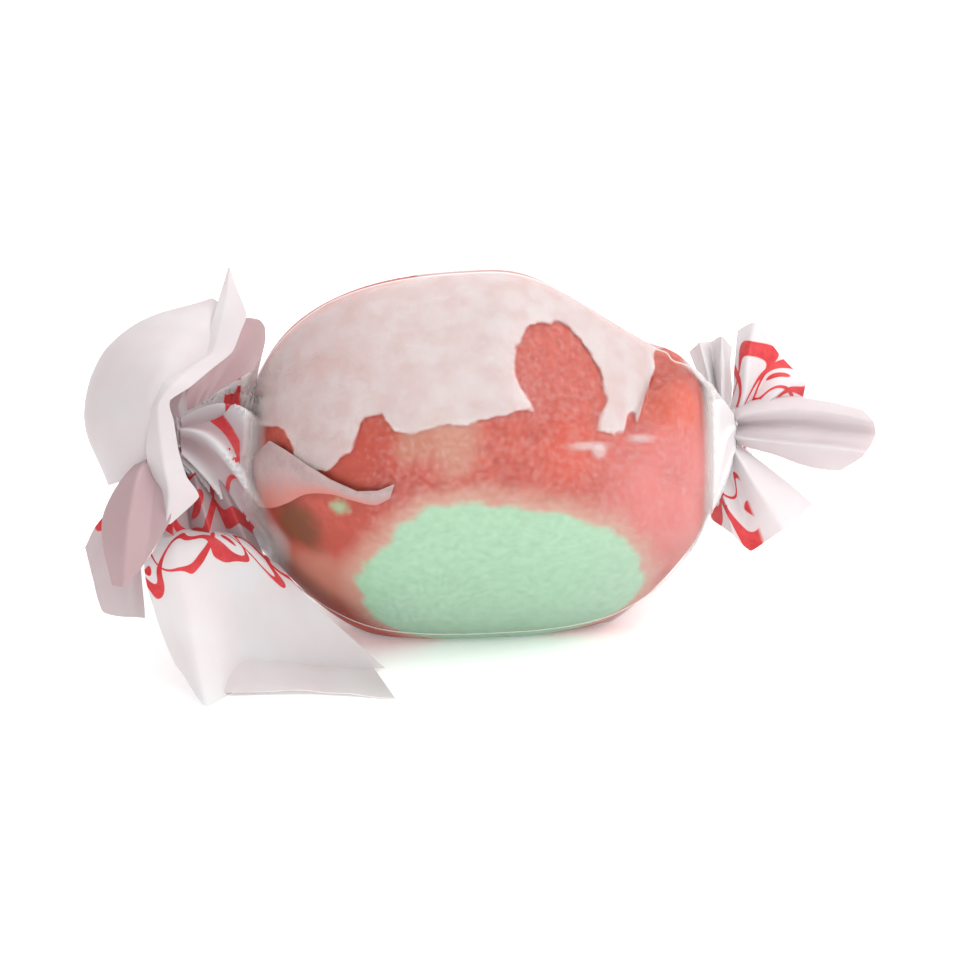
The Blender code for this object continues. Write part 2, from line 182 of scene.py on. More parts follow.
RIGHT_FOLDS = {
    "column": (
        ((14.8, 3.4, -4.8), (14.0, 5.6, -5.8), (13.5, 6.9, -6.8)),
        ((15.0, 3.6, -3.4), (14.4, 6.2, -4.0), (14.1, 7.5, -5.0)),
        ((15.4, 3.6, -4.6), (15.0, 6.4, -5.4), (14.9, 7.6, -6.4)),
        ((15.6, 3.8, -3.0), (15.6, 6.4, -3.6), (15.6, 7.9, -4.4)),
        ((16.1, 3.6, -4.2), (16.1, 6.0, -5.0), (16.3, 7.2, -5.8)),
    ),
    "facet": (
        ((16.3, 3.8, -3.8), (16.5, 6.4, -4.8), (16.7, 8.3, -6.0)),
        ((16.9, 3.6, -2.2), (17.3, 6.6, -3.2), (17.8, 8.8, -4.6)),
        ((17.3, 3.2, -3.0), (18.5, 5.3, -4.2), (19.4, 6.7, -5.4)),
        ((17.7, 2.8, -1.9), (19.5, 4.3, -2.7), (21.1, 4.8, -4.0)),
        ((17.8, 2.5, -2.8), (19.4, 3.3, -3.8), (20.8, 3.2, -4.8)),
    ),
    "arm": (
        ((16.6, 3.2, -2.6), (19.8, 3.8, -3.0), (22.8, 3.5, -3.4), (24.8, 3.0, -4.0)),
        ((16.8, 2.6, -1.2), (20.2, 3.0, -1.0), (23.2, 2.8, -1.4), (25.5, 2.3, -2.0)),
        ((16.8, 1.9, -2.2), (20.0, 2.0, -2.2), (23.0, 1.6, -2.6), (25.7, 1.4, -3.0)),
        ((16.6, 1.2, -0.6), (19.6, 0.8, -0.6), (22.4, 0.5, -1.0), (24.9, 0.1, -1.6)),
        ((16.4, 0.8, -2.0), (18.8, 0.0, -2.4), (21.2, -0.8, -2.8), (23.4, -1.0, -3.6)),
    ),
    "lobe": (
        ((16.8, 0.6, -1.8), (18.4, -0.6, -2.4), (20.2, -2.0, -3.2), (21.6, -3.2, -4.0)),
        ((16.4, 0.2, -0.8), (17.6, -1.8, -1.0), (18.7, -3.4, -1.6), (19.6, -4.8, -2.4)),
        ((15.9, 0.0, -2.2), (16.5, -2.4, -2.8), (17.2, -4.8, -3.2), (17.5, -6.3, -3.8)),
        ((15.5, 0.0, -1.4), (15.5, -2.0, -1.6), (15.9, -3.8, -2.2), (16.2, -5.2, -3.0)),
        ((15.1, -0.4, -3.0), (14.7, -2.0, -3.8), (14.8, -3.2, -4.6), (14.9, -4.2, -5.4)),
    ),
    "rear": (
        ((15.8, 3.2, -4.4), (15.2, 4.4, -8.4), (15.0, 5.6, -12.0)),
        ((16.8, 1.6, -4.6), (17.2, 1.4, -8.6), (18.0, 1.8, -12.4)),
        ((16.6, 0.0, -4.2), (16.8, -1.2, -8.0), (17.2, -2.2, -11.6)),
    ),
}
# How each fold is finished: depth of its creases in mm, how sharply it is folded at its ribs, how much
# painted shade it takes, as mauve mixed into its white, and the share left bare of print at its first and
# last rib
FOLD_LOOKS = {
    "hood": (0.05, 0.0, 0.2, 1, 1), "back": (0.2, 0.4, 0.8, 1, 1), "under": (0.1, 0.3, 0.15, 1, 1),
    "apron": (0.10, 0.5, 0.05, 0, 0), "gusset": (0.05, 0.9, 0.75, 0, 0), "pendant": (0.04, 0.9, 0.85, 1, 1),
    "pleat": (0.2, 0.6, 0.4, 0, 0), "column": (0.05, 0.9, 0.1, 1, 1), "facet": (0.06, 0.8, 0.1, 0, 0),
    "arm": (0.12, 0.4, 0.3, 1, 1), "lobe": (0.06, 0.7, 0.1, 1, 0), "rear": (0.25, 0.5, 0.2, 1, 0),
}

# The lower edge of the pale, loose stretch over the slice, as (right, up) of the front view in mm, and its
# limit to the right
LOOSE_EDGE = (
    (-17.0, -1.6), (-12.9, -1.0), (-11.6, -0.8), (-10.3, -1.2), (-8.8, 0.2), (-8.2, 1.6), (-7.9, 2.4),
    (-6.6, 2.5), (-5.9, 1.6), (-4.8, 1.3), (-2.9, 1.8), (-0.6, 2.2), (2.8, 2.9), (7.7, 1.6), (9.0, 1.5),
    (9.3, 3.0), (10.3, 2.9), (10.6, 1.6), (12.0, 1.0), (18.0, 0.0),
)
LOOSE_LIMIT = 11.0
# Places in it where it clings after all: centre, half length, half width and turn of each oval
CLING_SPOTS = (((4.8, 4.9), (4.0, 2.6), 115), ((-14.2, 0.4), (1.7, 1.5), 0))
# Colour spots on the slice, as (right, up), radius in mm and colour. The first is painted light: it makes the
# slice lighter and pinker low on the right.
SPOTS = (
    ((12.6, -2.6), 6.5, (224, 104, 97)),
    ((-10.8, -8.0), 3.4, (206, 128, 108)),
    ((-12.3, -4.6), 2.3, (124, 64, 30)),
    ((-9.6, -3.4), 0.75, (170, 188, 146)),
    ((-2.2, 0.9), 2.4, (204, 136, 114)),
    ((-4.6, 0.6), 1.6, (198, 124, 100)),
    ((12.2, 3.4), 2.4, (222, 92, 68)),
    ((6.0, 0.2), 2.6, (210, 80, 58)),
)
# Small white glints on the clear stretch: centre and half sizes of each oval
GLINTS = (((6.6, 0.6), (1.1, 0.22)), ((7.3, 0.25), (0.4, 0.4)), ((10.0, 1.1), (0.7, 0.2)))

# The sheet's opaque ends in mm to the right: where they begin and over how much they fade in. The left one
# begins further right below the middle. Faces past the printed share of the fade take the opaque paper.
OPAQUE_LEFT = -15.6
OPAQUE_LEFT_LOW = 1.6
OPAQUE_LEFT_FADE = 1.4
OPAQUE_RIGHT = 14.0
OPAQUE_RIGHT_FADE = 0.9
PRINTED_SHARE = 0.6

# The print, in mm: the length of one wave of its strokes, how far its middle is from the neck, how far its
# strokes swing to each side of that, and its length for each radian round a neck
PRINT_PITCH = 8.4
PRINT_MIDDLE = 3.9
PRINT_REACH = 2.0
PRINT_TURN = 2.6

# The share of full brightness that colours are drawn at, under lights that whiten the floor: in general, of
# white paper, and of the ink
TONE = 0.79
WHITE = 0.86
INK = 0.9

PAPER_ROUGHNESS = 0.42
PAPER_BUMP = (0.12, 0.05)
# The mauve of painted shade, mixed into the paper's white in pleat hollows and on folds that lie in shade
PAPER_PAINTED_SHADE = (206, 172, 176)
PAPER_TRANSLUCENCE = 0.42
GATHERED_TRANSLUCENCE = 0.25

WORLD_STRENGTH = 0.98
FLOOR_GLOW = 0.2
FLOOR_HALF = 3.0
# Each lamp's name, place and size in metres, and power in watts
LAMPS = (("key", (0.28, -0.16, 0.42), 0.35, 1.9), ("back", (0.05, 0.4, 0.4), 0.4, 0.9))
# The camera's distance and what it sees across, in metres, and the middle of that in the front view, in mm
CAMERA_DISTANCE = 0.6
FRAME_WIDTH = 0.063
FRAME_MIDDLE = (-0.4, -1.6, 0)


def smooth(value):
    """0 below 0, 1 above 1, smooth between."""
    value = np.clip(value, 0.0, 1.0)
    return value * value * (3 - 2 * value)


def unit(vectors):
    """The vectors at length 1."""
    return vectors / np.maximum(np.linalg.norm(vectors, axis=-1, keepdims=True), 1e-9)


def grid_normals(grid):
    return unit(np.cross(np.gradient(grid, axis=0), np.gradient(grid, axis=1)))


def running_length(points, axis):
    """The length along each line of points, from 0 at its first one."""
    steps = np.linalg.norm(np.diff(points, axis=axis), axis=-1)
    return np.concatenate([0 * steps.take([0], axis=axis), np.cumsum(steps, axis=axis)], axis=axis)


def last_true(test, low, high, halvings):
    """The highest values for which the test holds, between low ones where it does and high ones where not."""
    for _ in range(halvings):
        middle = (low + high) / 2
        holds = test(middle)
        low = np.where(holds, middle, low)
        high = np.where(holds, high, middle)
    return low


def face_frame():
    """Unit vectors along the slice, up its cut face and out of it."""
    along = np.array((1.0, 0.0, 0.0))
    rise = np.array((0.0, -math.sin(FACE_TILT), math.cos(FACE_TILT)))
    out = np.array((0.0, -math.cos(FACE_TILT), -math.sin(FACE_TILT)))
    return along, rise, out


def slice_level(points, margin):
    """1 on the surface of the slice grown by the margin, less inside it. Points are in mm from its centre."""
    half = np.array(CANDY_HALF) + margin
    x, u, n = (points @ axis for axis in face_frame())
    upper, lower = smooth((u + 2) / CUT_FADE), smooth((2 - u) / CUT_FADE)
    lobe = 1 - RIGHT_LOBE * smooth((x - RIGHT_LOBE_START) / RIGHT_LOBE_REACH)
    cut = TOP_CUT * smooth(x / TOP_CUT_REACH) * upper * lobe
    cut = cut - LOW_CUT * smooth((abs(x) - LOW_CUT_START) / LOW_CUT_REACH) * lower
    n = n * (1 + BACK_TAPER * smooth((x - BACK_TAPER_START) / BACK_TAPER_REACH) * (n < 0))
    x = abs(x) / np.where(x > 0, half[0] - RIGHT_TRIM, half[0])
    u, n = abs(u + cut) / half[1], abs(n) / half[2]
    outline = (x**FACE_SQUARENESS + u**FACE_SQUARENESS) ** (EDGE_SQUARENESS / FACE_SQUARENESS)
    return outline + n**EDGE_SQUARENESS


def slice_radius(directions, start, margin):
    """How far the grown slice's surface is from a start inside it, along each direction."""
    def inside(distance):
        return slice_level(start + directions * distance[..., None], margin) < 1

    shape = directions.shape[:-1]
    return last_true(inside, np.zeros(shape), np.full(shape, 2.0 * max(CANDY_HALF)), 30)


def random_direction(rng):
    direction = rng.normal(size=3)
    return direction / np.linalg.norm(direction)


def wave_field(points, scale, seed, layers=5):
    """A smooth seeded noise: a few plane waves in random directions."""
    rng = np.random.default_rng(seed)
    total = np.zeros(points.shape[:-1])
    for _ in range(layers):
        direction = random_direction(rng)
        rate = (0.7 + 0.9 * rng.random()) * 2 * math.pi / scale
        total += np.sin(points @ direction * rate + rng.uniform(0, 2 * math.pi))
    return total / layers


def crumple_field(points, scale, seed, layers=7):
    """Sharp ridges along random lines, as creased paper has."""
    rng = np.random.default_rng(seed)
    total = np.zeros(points.shape[:-1])
    for _ in range(layers):
        direction = random_direction(rng)
        phase = points @ direction / (scale * (0.7 + 0.8 * rng.random())) + rng.random()
        total += np.abs(phase - np.round(phase)) * 2
    return total / layers - 0.5


def linked(name, data):
    """A new object of a mesh, a lamp or a camera, in the scene."""
    obj = bpy.data.objects.new(name, data)
    bpy.context.scene.collection.objects.link(obj)
    return obj


def closed_sheet(name, grid, values, looks, printed=None):
    """A thin closed shell round a grid of points: two faces and a rim, with values kept at its points.

    Its looks are those of the faces, of the rim and, where printed is true, of the printed faces.
    """
    normal = grid_normals(grid)
    outer = (grid + normal * SHEET / 2).reshape(-1, 3)
    inner = (grid - normal * SHEET / 2).reshape(-1, 3)
    points = np.concatenate([outer, inner])
    count = len(outer)
    index = np.arange(count).reshape(grid.shape[:2])
    a, b = index[:-1, :-1].ravel(), index[1:, :-1].ravel()
    c, d = index[1:, 1:].ravel(), index[:-1, 1:].ravel()
    top = np.stack([a, b, c, d], axis=1)
    bottom = np.stack([d, c, b, a], axis=1) + count
    loop = np.concatenate([index[:, 0], index[-1, 1:], index[-2::-1, -1], index[0, -2:0:-1]])
    after = np.roll(loop, -1)
    rim = np.stack([loop, loop + count, after + count, after], axis=1)
    faces = np.concatenate([top, bottom, rim])
    mesh = bpy.data.meshes.new(name)
    mesh.vertices.add(len(points))
    mesh.vertices.foreach_set("co", (points * MM).astype(np.float32).ravel())
    mesh.loops.add(faces.size)
    mesh.loops.foreach_set("vertex_index", faces.astype(np.int32).ravel())
    mesh.polygons.add(len(faces))
    mesh.polygons.foreach_set("loop_start", np.arange(0, faces.size, 4, dtype=np.int32))
    slots = np.zeros(len(faces), np.int32)
    if printed is not None:
        slots[:2 * len(top)] = np.tile(2 * printed.ravel()[top].all(axis=1), 2)
    slots[2 * len(top):] = 1
    mesh.polygons.foreach_set("material_index", slots)
    mesh.update(calc_edges=True)
    mesh.validate()
    for key, value in values.items():
        kind = "FLOAT_VECTOR" if value.ndim == 3 else "FLOAT"
        flat = value.reshape(count, -1)
        both = np.concatenate([flat, flat]).astype(np.float32).ravel()
        layer = mesh.attributes.new(key, kind, "POINT")
        layer.data.foreach_set("vector" if kind == "FLOAT_VECTOR" else "value", both)
    for look in looks:
        mesh.materials.append(look)
    mesh.shade_smooth()
    mesh.set_sharp_from_angle(angle=math.radians(78))
    return linked(name, mesh)


class Nodes:
    """Short ways to add nodes to one material."""

    # A mix node has its own two inputs and its own output for each kind of value
    MIX_SOCKETS = {"FLOAT": (2, 3, 0), "RGBA": (6, 7, 2)}

    def __init__(self, name):
        self.material = bpy.data.materials.new(name)
        self.material.use_nodes = True
        self.tree = self.material.node_tree
        self.shader = self.tree.nodes["Principled BSDF"]

    def add(self, kind, **settings):
        node = self.tree.nodes.new(kind)
        for key, value in settings.items():
            setattr(node, key, value)
        return node

    def feed(self, value, socket):
        if isinstance(value, bpy.types.NodeSocket):
            self.tree.links.new(value, socket)
        else:
            socket.default_value = value

    def math(self, operation, *values):
        node = self.add("ShaderNodeMath", operation=operation)
        for value, socket in zip(values, node.inputs):
            self.feed(value, socket)
        return node.outputs[0]

    def mix(self, factor, first, second, kind="RGBA"):
        low, high, result = self.MIX_SOCKETS[kind]
        node = self.add("ShaderNodeMix", data_type=kind)
        self.feed(factor, node.inputs["Factor"])
        self.feed(first, node.inputs[low])
        self.feed(second, node.inputs[high])
        return node.outputs[result]

    def ramp(self, value, low, high):
        """0 below low, 1 above high, smooth between."""
        node = self.add("ShaderNodeMapRange", interpolation_type="SMOOTHSTEP")
        self.feed(value, node.inputs["Value"])
        node.inputs["From Min"].default_value = low
        node.inputs["From Max"].default_value = high
        return node.outputs["Result"]

    def attribute(self, name):
        return self.add("ShaderNodeAttribute", attribute_name=name)

    def place(self):
        """Object coordinates in mm."""
        coordinates = self.add("ShaderNodeTexCoord")
        mapping = self.add("ShaderNodeMapping")
        mapping.inputs["Scale"].default_value = (1 / MM,) * 3
        self.tree.links.new(coordinates.outputs["Object"], mapping.inputs["Vector"])
        return mapping.outputs["Vector"]

    def noise(self, vector, scale, detail=3.0, roughness=0.55):
        node = self.add("ShaderNodeTexNoise")
        self.tree.links.new(vector, node.inputs["Vector"])
        node.inputs["Scale"].default_value = scale
        node.inputs["Detail"].default_value = detail
        node.inputs["Roughness"].default_value = roughness
        return node.outputs["Fac"]

    def bump(self, height, strength, distance):
        """Raises the shader's surface by a height from 0 to 1, times the distance in mm."""
        node = self.add("ShaderNodeBump")
        node.inputs["Strength"].default_value = strength
        node.inputs["Distance"].default_value = distance * MM
        self.tree.links.new(height, node.inputs["Height"])
        self.tree.links.new(node.outputs["Normal"], self.shader.inputs["Normal"])


def srgb(red, green, blue, tone=TONE):
    """A colour read as 0 to 255 on the screen, as linear RGB, toned down for the lights."""
    def linear(value):
        value /= 255
        return value / 12.92 if value <= 0.04045 else ((value + 0.055) / 1.055) ** 2.4
    return (linear(red) * tone, linear(green) * tone, linear(blue) * tone, 1.0)


def candy_material():
    """Red round the core, tan where the two colours meet, and pale green inside."""
    n = Nodes("taffy_colours")
    place = n.place()
    depth = n.attribute("core_depth").outputs["Fac"]
    ragged_noise = n.noise(place, 0.45, 3.0)
    ragged = n.math("MULTIPLY_ADD", ragged_noise, 1.5, -0.75)
    depth = n.math("ADD", depth, ragged)
    broad = n.noise(place, 0.12, 2.0)
    fine = n.noise(place, 1.4, 3.0, 0.6)
    red = n.mix(n.ramp(broad, 0.35, 0.65), srgb(194, 76, 57), srgb(207, 90, 73))
    red = n.mix(n.ramp(fine, 0.3, 0.75), red, srgb(185, 70, 54))
    # The first spot is painted light, lighter and pinker low on the right
    for centre, radius, shade in SPOTS:
        middle = on_slice(np.array(centre[0]), np.array(centre[1]), CANDY_GROW) + SLICE_CENTRE
        away = n.add("ShaderNodeVectorMath", operation="DISTANCE")
        n.feed(place, away.inputs[0])
        away.inputs[1].default_value = tuple(middle)
        near = n.math("ADD", away.outputs["Value"], n.math("MULTIPLY_ADD", ragged_noise, 2.4, -1.2))
        red = n.mix(n.ramp(near, radius * 1.25, radius * 0.35), red, srgb(*shade))
    tan = srgb(212, 156, 136)
    green = n.mix(n.ramp(fine, 0.35, 0.7), srgb(178, 223, 187), srgb(168, 213, 177))
    outer = n.mix(n.ramp(depth, -1.8, -0.1), red, tan)
    colour = n.mix(n.ramp(depth, -0.3, 0.45), outer, green)
    n.feed(colour, n.shader.inputs["Base Color"])
    n.shader.inputs["Roughness"].default_value = 0.55
    n.bump(fine, 0.06, 0.12)
    return n.material


def print_mask(n, sheet):
    """A loose braid of two crossing brush strokes with drops in its eyes, in bands near the necks."""
    split = n.add("ShaderNodeSeparateXYZ")
    n.tree.links.new(sheet, split.inputs[0])
    slow = n.math("SINE", n.math("MULTIPLY_ADD", split.outputs[0], 0.53, 1.0))
    quick = n.math("SINE", n.math("MULTIPLY_ADD", split.outputs[1], 0.9, n.math("MULTIPLY", slow, 2.0)))
    across = n.math("MULTIPLY_ADD", quick, 0.9, split.outputs[0])
    past = n.math("MULTIPLY_ADD", slow, 0.8, split.outputs[1])
    past = n.math("MULTIPLY_ADD", n.math("SINE", n.math("MULTIPLY", across, 1.9)), 0.3, past)
    turn = n.math("MULTIPLY", across, 2 * math.pi / PRINT_PITCH)
    wave = n.math("MULTIPLY", n.math("SINE", turn), PRINT_REACH)
    middle = n.math("SUBTRACT", past, PRINT_MIDDLE)
    width = n.math("MULTIPLY_ADD", n.math("SINE", n.math("ADD", turn, 0.9)), 0.26, 0.56)
    first = n.math("SUBTRACT", n.math("ABSOLUTE", n.math("SUBTRACT", middle, wave)), width)
    width = n.math("MULTIPLY_ADD", n.math("SINE", n.math("ADD", turn, 2.4)), 0.24, 0.4)
    second = n.math("SUBTRACT", n.math("ABSOLUTE", n.math("ADD", middle, wave)), width)
    eye = n.math("SUBTRACT", n.math("FLOORED_MODULO", across, PRINT_PITCH), PRINT_PITCH / 4)
    long = n.math("POWER", n.math("DIVIDE", eye, 0.75), 2.0)
    wide = n.math("POWER", n.math("DIVIDE", middle, 0.4), 2.0)
    drop = n.math("POWER", n.math("ADD", long, wide), 0.5)
    shape = n.math("MINIMUM", n.math("MINIMUM", first, second), n.math("MULTIPLY_ADD", drop, 0.5, -0.5))
    return n.math("SUBTRACT", 1.0, n.ramp(shape, -0.05, 0.05))


def paper_material():
    """Waxed paper that stands free or is gathered: white, with painted mauve shade in its hollows and on
    shaded folds, and a red print.
    """
    n = Nodes("waxed_paper")
    place = n.place()
    sheet = n.attribute("sheet").outputs["Vector"]
    fibre = n.noise(place, 1.2, 3.0, 0.7)
    cloud = n.noise(place, 0.28, 2.0)
    white = n.mix(n.ramp(cloud, 0.35, 0.7), srgb(250, 245, 246, WHITE), srgb(251, 251, 252, WHITE))
    # Painted shade: the shade attribute mixes in mauve in pleat hollows and on folds that lie in shade
    white = n.mix(n.attribute("shade").outputs["Fac"], white, srgb(*PAPER_PAINTED_SHADE, WHITE))
    split = n.add("ShaderNodeSeparateXYZ")
    n.feed(sheet, split.inputs[0])
    inked = n.math("SUBTRACT", 1.0, n.ramp(split.outputs[2], 0.35, 0.65))
    mask = n.math("MULTIPLY", print_mask(n, sheet), inked)
    ink = n.mix(n.ramp(fibre, 0.3, 0.7), srgb(224, 64, 70, INK), srgb(236, 84, 88, INK))
    colour = n.mix(mask, white, ink)
    n.feed(colour, n.shader.inputs["Base Color"])
    n.shader.inputs["Roughness"].default_value = PAPER_ROUGHNESS
    n.bump(fibre, *PAPER_BUMP)
    through = n.add("ShaderNodeBsdfTranslucent")
    n.feed(colour, through.inputs["Color"])
    blend = n.add("ShaderNodeMixShader")
    drop = GATHERED_TRANSLUCENCE - PAPER_TRANSLUCENCE
    share = n.math("MULTIPLY_ADD", n.attribute("gather").outputs["Fac"], drop, PAPER_TRANSLUCENCE)
    n.feed(share, blend.inputs[0])
    n.tree.links.new(n.shader.outputs[0], blend.inputs[1])
    n.tree.links.new(through.outputs[0], blend.inputs[2])
    n.tree.links.new(blend.outputs[0], n.tree.nodes["Material Output"].inputs["Surface"])
    return n.material


def cling_material():
    """The waxed paper round the slice: milky where it stands off the taffy, nearly clear where it clings."""
    n = Nodes("waxed_paper_body")
    place = n.place()
    fibre = n.noise(place, 2.6, 2.0, 0.7)
    cloud = n.noise(place, 0.6, 2.0)
    white = n.mix(n.ramp(cloud, 0.3, 0.7), srgb(248, 235, 232, WHITE), srgb(252, 248, 247, WHITE))
    gather = n.attribute("gather").outputs["Fac"]
    # Painted shade in the hollows of the gathered pleats, in mauve
    painted_hollow_shade = n.math("MULTIPLY", gather, n.attribute("shade").outputs["Fac"])
    n.feed(n.mix(painted_hollow_shade, white, srgb(*PAPER_PAINTED_SHADE, WHITE)), n.shader.inputs["Base Color"])
    n.shader.inputs["Roughness"].default_value = PAPER_ROUGHNESS
    n.bump(fibre, *PAPER_BUMP)
    loose = n.math("ADD", n.attribute("loose").outputs["Fac"], n.math("MULTIPLY_ADD", cloud, 0.9, -0.45))
    milky = n.math("MULTIPLY_ADD", fibre, 0.12, n.math("MULTIPLY_ADD", cloud, 0.07, 0.14))
    clear = n.math("MULTIPLY_ADD", n.ramp(fibre, 0.4, 0.75), 0.035, 0.004)
    alpha = n.mix(n.ramp(loose, -0.10, 0.14), clear, milky, "FLOAT")
    # The haze attribute holds the paper's haze and painted light: painted shade on the left, glints and a
    # highlight along the cut edge
    alpha = n.math("ADD", alpha, n.attribute("haze_and_painted_light").outputs["Fac"])
    n.feed(n.math("MAXIMUM", alpha, gather), n.shader.inputs["Alpha"])
    return n.material


def fold_material():
    """Several layers of waxed paper lying on the slice, which shows more towards the fold's lower side."""
    n = Nodes("waxed_paper_fold")
    place = n.place()
    fibre = n.noise(place, 1.1, 5.0, 0.65)
    pale = n.mix(n.ramp(fibre, 0.3, 0.7), srgb(176, 150, 149), srgb(192, 165, 163))
    shade = n.math("ADD", n.attribute("shade").outputs["Fac"], n.math("MULTIPLY_ADD", fibre, 0.5, -0.3))
    n.feed(n.mix(n.ramp(shade, 0.25, 1.0), pale, srgb(206, 124, 112)), n.shader.inputs["Base Color"])
    n.shader.inputs["Roughness"].default_value = PAPER_ROUGHNESS
    n.bump(fibre, *PAPER_BUMP)
    return n.material


def edge_material():
    """The paper's bare white cut edge."""
    n = Nodes("cut_edge")
    grain = n.noise(n.place(), 3.0)
    n.feed(n.mix(grain, srgb(250, 240, 238), srgb(255, 252, 250)), n.shader.inputs["Base Color"])
    n.shader.inputs["Roughness"].default_value = 0.6
    return n.material


def core_outline(angle):
    """The core's radius on the cut face, at an angle round the face's axis."""
    wave = 1 + sum(size * np.cos(count * angle + phase) for count, size, phase in CORE_WAVES)
    right = CORE_RADII[0] * wave * np.cos(angle)
    up = CORE_RADII[1] * wave * np.sin(angle)
    return np.hypot(right, up) - CORE_DROP * np.sin(angle)


def taffy_surface(angles, lean):
    """Points on the taffy at an angle round its face's axis and a lean away from that, and their radius."""
    along, rise, out = face_frame()
    across = np.cos(angles)[..., None] * along + np.sin(angles)[..., None] * rise
    directions = np.sin(lean)[..., None] * across + np.cos(lean)[..., None] * out
    radius = slice_radius(directions, np.zeros(3), CANDY_GROW)
    return directions * radius[..., None], radius * np.sin(lean)


def boundary_lean(angles):
    """The lean at which the taffy's front surface crosses the core's outline."""
    outline = core_outline(angles)
    low, high = np.zeros(len(angles)), np.full(len(angles), math.pi / 2)
    return last_true(lambda lean: taffy_surface(angles, lean)[1] < outline, low, high, 24)


def mesh_from_grid(name, grid, depth, look, capped):
    """A closed surface from rings of points round the face's axis, capped, or joined last ring to first."""
    points = grid.reshape(-1, 3)
    index = np.arange(len(points)).reshape(grid.shape[:2])
    following = np.roll(index, -1, axis=1)
    faces = np.stack([index[:-1], index[1:], following[1:], following[:-1]], axis=-1).reshape(-1, 4).tolist()
    if capped:
        faces += [index[0].tolist(), index[-1][::-1].tolist()]
    else:
        faces += np.stack([index[-1], index[0], following[0], following[-1]], axis=-1).tolist()
    mesh = bpy.data.meshes.new(name)
    mesh.from_pydata((points * MM).tolist(), [], faces)
    mesh.update()
    layer = mesh.attributes.new("core_depth", "FLOAT", "POINT")
    layer.data.foreach_set("value", depth.astype(np.float32).ravel())
    mesh.materials.append(look)
    mesh.shade_smooth()
    mesh.set_sharp_from_angle(angle=math.radians(40))
    return linked(name, mesh)


def rest_on_floor(points, height):
    """Lifts, in place, the points that are lower than a height above the floor."""
    points[..., 2] = np.maximum(points[..., 2], height)
    return points


def make_candy(look):
    """The core as a plug through the slice, and the ring round it, each closed."""
    around = 240
    angles = np.linspace(0, 2 * math.pi, around, endpoint=False)
    edge = boundary_lean(angles)

    def surface(leans):
        """Points on the taffy, and how deep they lie within the core's outline, in mm."""
        all_angles = np.tile(angles, (len(leans), 1))
        grid, radius = taffy_surface(all_angles, np.array(leans))
        grid = dent(grid * (1 + 0.006 * wave_field(grid, 7.0, 3))[..., None]) + SLICE_CENTRE
        return rest_on_floor(grid, 2 * SHEET), core_outline(all_angles) - radius

    steps = np.linspace(0.02, 1, 46)
    front, front_depth = surface([edge * step for step in steps])
    back, back_depth = surface([math.pi - edge * step for step in steps[::-1]])
    core = mesh_from_grid(
        "green_core", np.concatenate([front, back]), np.concatenate([front_depth, back_depth]), look, True
    )
    steps = np.linspace(0, 1, 120)
    ring, ring_depth = surface([edge + (math.pi - 2 * edge) * step for step in steps])
    shell = mesh_from_grid("red_ring", ring, ring_depth, look, False)
    return core, shell


def shoulder_profile(angle, margin, steps=400):
    """The sheet's line from neck to neck over the slice, in even steps, at an angle round its length."""
    left, right = seen(*NECK_LEFT), seen(*NECK_RIGHT)
    direction = np.array((0.0, -math.cos(angle), math.sin(angle)))
    limit = CANDY_HALF[0] + margin - 0.02
    x = limit * np.sin(np.linspace(-math.pi / 2, math.pi / 2, steps))
    starts = np.stack([x, 0 * x, 0 * x], axis=1)
    radius = slice_radius(np.tile(direction, (steps, 1)), starts, margin)
    points = starts + radius[:, None] * direction
    ends = [
        neck + (NECK_RADIUS + margin) * direction + side * margin * np.array((1, 0, 0))
        for neck, side in ((left, -1), (right, 1))
    ]
    kept = radius > SHOULDER_RADIUS
    line = np.concatenate([ends[:1], points[kept], ends[1:]])
    run = running_length(line, 0)
    wanted = np.linspace(0, run[-1], ROWS)
    return np.stack([np.interp(wanted, run, line[:, axis]) for axis in range(3)], axis=1)


def seen_place(points):
    """The right, up and near coordinates of points in the front view."""
    return tuple(points @ axis for axis in AXES)


def oval_distance(right, up, centre, half, turn):
    """Below 0 inside the oval, above 0 outside it, in mm near its edge."""
    turn = math.radians(turn)
    x, y = right - centre[0], up - centre[1]
    along = (x * math.cos(turn) + y * math.sin(turn)) / half[0]
    across = (y * math.cos(turn) - x * math.sin(turn)) / half[1]
    return (np.hypot(along, across) - 1) * min(half)


def looseness(points):
    """How far a point of the front lies inside the pale, loose stretch, in mm. Less than 0, it clings."""
    right, up, near = seen_place(points)
    edge = np.array(LOOSE_EDGE)
    slope = np.interp(right, edge[:-1, 0] + 0.3, np.diff(edge[:, 1]) / np.diff(edge[:, 0]))
    above = (up - np.interp(right, edge[:, 0], edge[:, 1])) / np.hypot(1, slope)
    for centre, half, turn in CLING_SPOTS:
        above = np.minimum(above, oval_distance(right, up, centre, half, turn))
    above = np.minimum(above, LOOSE_LIMIT - 0.08 * (up - 5.0) ** 2 + 6 * smooth((up - 6.6) / 1.6) - right)
    behind = smooth((-0.5 - near) / 4.0)
    patchy = 2.5 * wave_field(points, 16.0, 11) + 0.4 + 3.0 * smooth(right / 4) * smooth((up - 3) / 3)
    return above * (1 - behind) + patchy * behind


def dent(points):
    """Moves points of the front inwards along the crease by the right shoulder, and in a shallow hollow."""
    right, up, near = seen_place(points)
    front = smooth(near / 4.0)
    line = np.array(((9.4, 0.6), (10.6, 2.4), (11.5, 4.4), (12.6, 6.2), (14.0, 8.0)))
    centre = np.interp(up, line[:, 1], line[:, 0])
    reach = smooth((up - 0.2) / 2.5)
    depth = 0.9 * np.exp(-(((right - centre) / 0.9) ** 2)) * reach
    depth += 0.35 * np.exp(-(((up - 0.7 + 0.03 * (right - 3) ** 2) / 1.1) ** 2)) * smooth((right + 1) / 4)
    depth *= front
    return points - unit(points) * depth[..., None]


def body_table(margin):
    """Profiles from neck to neck for every whole degree round the slice's axis."""
    return np.array([shoulder_profile(math.radians(angle), margin) for angle in range(361)])


